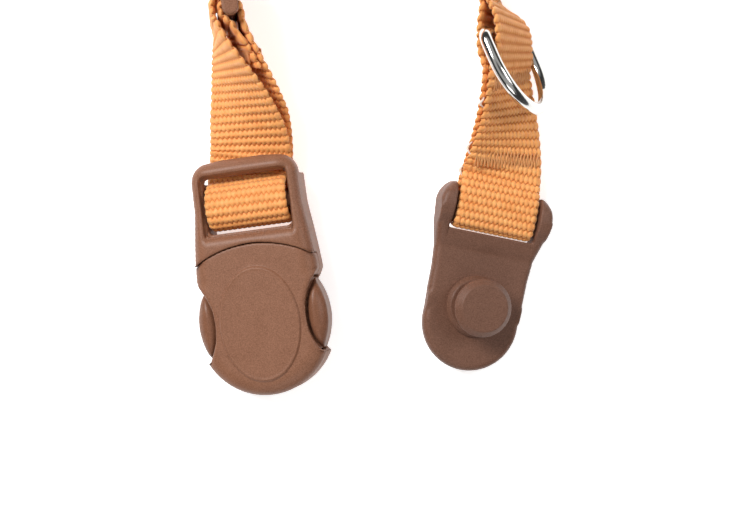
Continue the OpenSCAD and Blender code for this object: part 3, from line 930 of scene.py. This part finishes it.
def slider_stitching():
    """The bartack that holds the sewn tail to the left leg's layer beside it."""
    t = 1 - SLIDER_STITCH_DISTANCE / LEG_LEFT_LENGTH
    here, w = left_station(t, -1)
    along = unit(left_station(t + 0.01, -1)[0] - left_station(t - 0.01, -1)[0])
    w = squared(w, along)
    n = np.cross(w, along)
    stitch_mesh("slider_bartack", "slider_stitching", here + n * LAYER_GAP / 2, w, LAYER_GAP, 3.0,
                along)


slider_stitching()


THREAD_END_X = 9.5
THREAD_END_REACH = 1.0
THREAD_END_POINTS = 17


def thread_ends(name, spots):
    """Pale loose ends of the sewing thread at the right leg's edge; each spot is the place
    along the leg and the thread's length there."""
    turn = steps_to(0, 2 * math.pi, THREAD_SIDES)
    for number, (t, size) in enumerate(spots):
        along = unit(right_mid(t + 0.01) - right_mid(t - 0.01))
        w = squared(right_across(t), along)
        n = np.cross(w, along)
        f = np.linspace(0, 1, THREAD_END_POINTS)
        path = (right_mid(t)
                - w * (THREAD_END_X + THREAD_END_REACH * np.sin(math.pi * f))[:, None]
                + along * (size * (f - 0.5))[:, None]
                + n * (0.25 * np.sin(7 * f + number))[:, None])
        taper = 0.16 + 0.2 * np.sin(math.pi * f)
        rows = path[:, None, :] + taper[:, None, None] * (
            np.cos(turn)[None, :, None] * w + np.sin(turn)[None, :, None] * n)
        obj = grid_object(f"{name}_{number}", rows * MM, PALE_THREAD)
        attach(obj, "strap")


thread_ends("thread_end", ((0.02, 3.0), (0.24, 3.6), (0.58, 2.6)))


# ---------------------------------------------------------------- springs and floor
for node in ("left_spring", "right_spring"):
    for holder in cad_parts[node].material_slots:
        holder.material = STEEL

FLOOR_HALF = 1.6


def make_floor():
    corners = [(-FLOOR_HALF, -FLOOR_HALF, 0), (FLOOR_HALF, -FLOOR_HALF, 0),
               (FLOOR_HALF, FLOOR_HALF, 0), (-FLOOR_HALF, FLOOR_HALF, 0)]
    mesh = bpy.data.meshes.new("table_top")
    mesh.from_pydata(corners, [], [(0, 1, 2, 3)])
    mesh.materials.append(floor_material())
    floor = bpy.data.objects.new("table_top", mesh)
    bpy.context.collection.objects.link(floor)


make_floor()


# ---------------------------------------------------------------- world
SKY_STRENGTH = 0.46
SKY_FOOT = 0.25
SKY_TONES = ((0.4, 0.1), (0.56, 0.12), (0.72, 1.0), (0.93, 1.0))
SKY_CROWN = 0.16
BACKDROP = 0.93


def grey(level):
    return (level, level, level, 1)


def make_world():
    """Light that is dim round the sides and bright above, for soft gloss on the plastic.
    The camera itself sees an even pale backdrop in its place."""
    world = bpy.data.worlds.new("studio")
    world.use_nodes = True
    nodes, links = world.node_tree.nodes, world.node_tree.links
    direction = nodes.new("ShaderNodeTexCoord")
    split = nodes.new("ShaderNodeSeparateXYZ")
    links.new(direction.outputs["Generated"], split.inputs[0])
    tone = nodes.new("ShaderNodeValToRGB")
    tone.color_ramp.elements[0].color = grey(SKY_FOOT)
    for height, level in SKY_TONES:
        tone.color_ramp.elements.new(height).color = grey(level)
    tone.color_ramp.elements[-1].color = grey(SKY_CROWN)
    links.new(split.outputs["Z"], tone.inputs["Fac"])
    lit = nodes["Background"]
    links.new(tone.outputs["Color"], lit.inputs["Color"])
    lit.inputs["Strength"].default_value = SKY_STRENGTH
    seen = nodes.new("ShaderNodeBackground")
    seen.inputs["Color"].default_value = grey(BACKDROP)
    ray = nodes.new("ShaderNodeLightPath")
    either = nodes.new("ShaderNodeMixShader")
    links.new(ray.outputs["Is Camera Ray"], either.inputs["Fac"])
    links.new(lit.outputs[0], either.inputs[1])
    links.new(seen.outputs[0], either.inputs[2])
    links.new(either.outputs[0], nodes["World Output"].inputs["Surface"])
    bpy.context.scene.world = world
    bpy.context.scene.view_settings.view_transform = "Standard"


make_world()
